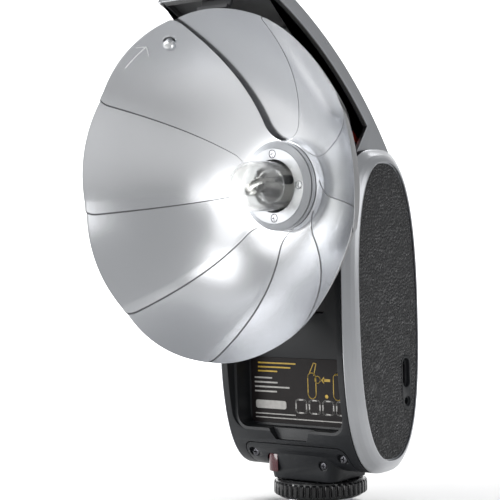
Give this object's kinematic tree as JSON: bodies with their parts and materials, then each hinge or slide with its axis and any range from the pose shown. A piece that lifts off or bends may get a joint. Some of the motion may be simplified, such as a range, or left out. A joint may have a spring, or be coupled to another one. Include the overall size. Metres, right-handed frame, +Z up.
{
  "type": "flash bulb gun",
  "caption": "Slim shoe-mount flash with an exposed bulb in a large fan-fold metal reflector, a curved hinged cover, leather side panels and a knurled lock ring.",
  "frame": {"origin": "centre of the shoe foot's bottom face", "axes": "+Z up the body; -Y the way the bulb and reflector face; +X towards the side panel with the charging port"},
  "size_m": [0.126, 0.0886, 0.196],
  "materials": {
    "silver_frame": "satin silver, bead blasted, bright machined edges",
    "steel": "satin",
    "leatherette": "black pebbled leatherette",
    "charcoal_shell": "fine matt texture",
    "label_film": "satin film with plain marks",
    "dark_red_window": "smoked dark red window",
    "black_gloss": "gloss black",
    "gold_contact": "plated",
    "red_plastic": "red",
    "battery_wrap": "shrink wrap",
    "circuit_board": "coated board",
    "hub_metal": "brushed, grey",
    "ceramic": "white insulator",
    "bulb_glass": "clear, lightly frosted",
    "tube_glass": "clear quartz tube",
    "reflector_metal": "satin, lightly brushed",
    "polished_knob": "polished"
  },
  "bodies": {
    "body": {"front_housing": "charcoal_shell", "rear_housing": "charcoal_shell", "side_frame_left": "silver_frame", "side_frame_right": "silver_frame", "hinge_pin_left": "steel", "hinge_pin_right": "steel", "leather_panel_left": "leatherette", "leather_panel_right": "leatherette", "label_plate": "label_film", "base_block": "charcoal_shell", "sensor_window": "dark_red_window", "apron_screw_left": "steel", "apron_screw_right": "steel", "block_screw": "steel", "usb_port": "steel", "sync_jack": "black_gloss", "shoe_foot": "steel", "ready_lamp": "dark_red_window", "rear_screw_1": "steel", "rear_screw_2": "steel", "rear_screw_3": "steel", "rear_screw_4": "steel", "battery_pack": "battery_wrap", "flash_capacitor": "black_gloss", "main_board": "circuit_board", "trigger_transformer": "gold_contact"},
    "head": {"cover_frame": "silver_frame", "cover_liner": "charcoal_shell", "cover_skin": "leatherette", "cover_latch": "charcoal_shell", "hinge_barrel": "charcoal_shell", "hub_spool": "hub_metal", "clamp_ring": "hub_metal", "clamp_collar": "hub_metal", "hub_screw_1": "steel", "hub_screw_2": "steel", "hub_screw_3": "steel", "hub_screw_4": "steel", "bulb_base": "ceramic", "bulb_glass": "bulb_glass", "flash_tube": "tube_glass", "leaf_9": "reflector_metal"},
    "leaf_1": {"leaf_1": "reflector_metal", "leaf_knob": "polished_knob"},
    "leaf_2": {"leaf_2": "reflector_metal"},
    "leaf_3": {"leaf_3": "reflector_metal"},
    "leaf_4": {"leaf_4": "reflector_metal"},
    "leaf_5": {"leaf_5": "reflector_metal"},
    "leaf_6": {"leaf_6": "reflector_metal"},
    "leaf_7": {"leaf_7": "reflector_metal"},
    "leaf_8": {"leaf_8": "reflector_metal"},
    "lock_ring": {"lock_ring": "black_gloss"},
    "contact_pin": {"contact_pin": "gold_contact"},
    "power_dial": {"power_dial": "black_gloss"},
    "mode_switch": {"mode_switch": "black_gloss"},
    "test_button": {"test_button": "red_plastic"},
    "head_release": {"head_release": "red_plastic"}
  },
  "joints": [
    {"name": "head_tilt", "type": "hinge", "parent": "body", "child": "head", "pos_m": [0, -0.001, 0.122], "axis": [1, 0, 0], "range_deg": [0, 5]},
    {"name": "fan_fold", "type": "hinge", "parent": "head", "child": "leaf_1", "pos_m": [0, -0.018, 0.12245], "axis": [0, -1, 0], "range_deg": [0, 320]},
    {"name": "leaf_2_turn", "type": "hinge", "parent": "head", "child": "leaf_2", "pos_m": [0, -0.018, 0.12245], "axis": [0, -1, 0], "range_deg": [0, 280]},
    {"name": "leaf_3_turn", "type": "hinge", "parent": "head", "child": "leaf_3", "pos_m": [0, -0.018, 0.12245], "axis": [0, -1, 0], "range_deg": [0, 240]},
    {"name": "leaf_4_turn", "type": "hinge", "parent": "head", "child": "leaf_4", "pos_m": [0, -0.018, 0.12245], "axis": [0, -1, 0], "range_deg": [0, 200]},
    {"name": "leaf_5_turn", "type": "hinge", "parent": "head", "child": "leaf_5", "pos_m": [0, -0.018, 0.12245], "axis": [0, -1, 0], "range_deg": [0, 160]},
    {"name": "leaf_6_turn", "type": "hinge", "parent": "head", "child": "leaf_6", "pos_m": [0, -0.018, 0.12245], "axis": [0, -1, 0], "range_deg": [0, 120]},
    {"name": "leaf_7_turn", "type": "hinge", "parent": "head", "child": "leaf_7", "pos_m": [0, -0.018, 0.12245], "axis": [0, -1, 0], "range_deg": [0, 80]},
    {"name": "leaf_8_turn", "type": "hinge", "parent": "head", "child": "leaf_8", "pos_m": [0, -0.018, 0.12245], "axis": [0, -1, 0], "range_deg": [0, 40]},
    {"name": "lock_ring_turn", "type": "hinge", "parent": "body", "child": "lock_ring", "pos_m": [0, 0, 0.00675], "axis": [0, 0, 1], "range_deg": [0, 360]},
    {"name": "power_dial_turn", "type": "hinge", "parent": "body", "child": "power_dial", "pos_m": [0, 0.0248, 0.092], "axis": [0, 1, 0], "range_deg": [0, 270]},
    {"name": "mode_switch_slide", "type": "slide", "parent": "body", "child": "mode_switch", "axis": [1, 0, 0], "range_m": [-0.002, 0.002]},
    {"name": "test_button_press", "type": "slide", "parent": "body", "child": "test_button", "axis": [0, -1, 0], "range_m": [0, 0.0006], "stiffness_N_per_m": 300, "springref_m": -0.0005},
    {"name": "head_release_slide", "type": "slide", "parent": "head", "child": "head_release", "axis": [-1, 0, 0], "range_m": [0, 0.0015], "stiffness_N_per_m": 300, "springref_m": -0.0005},
    {"name": "contact_pin_press", "type": "slide", "parent": "body", "child": "contact_pin", "axis": [0, 0, 1], "range_m": [0, 0.0005], "stiffness_N_per_m": 200, "springref_m": -0.0005}
  ],
  "couplings": [
    {"joint": "leaf_2_turn", "follows": "fan_fold", "ratio": 0.875},
    {"joint": "leaf_3_turn", "follows": "fan_fold", "ratio": 0.75},
    {"joint": "leaf_4_turn", "follows": "fan_fold", "ratio": 0.625},
    {"joint": "leaf_5_turn", "follows": "fan_fold", "ratio": 0.5},
    {"joint": "leaf_6_turn", "follows": "fan_fold", "ratio": 0.375},
    {"joint": "leaf_7_turn", "follows": "fan_fold", "ratio": 0.25},
    {"joint": "leaf_8_turn", "follows": "fan_fold", "ratio": 0.125}
  ]
}
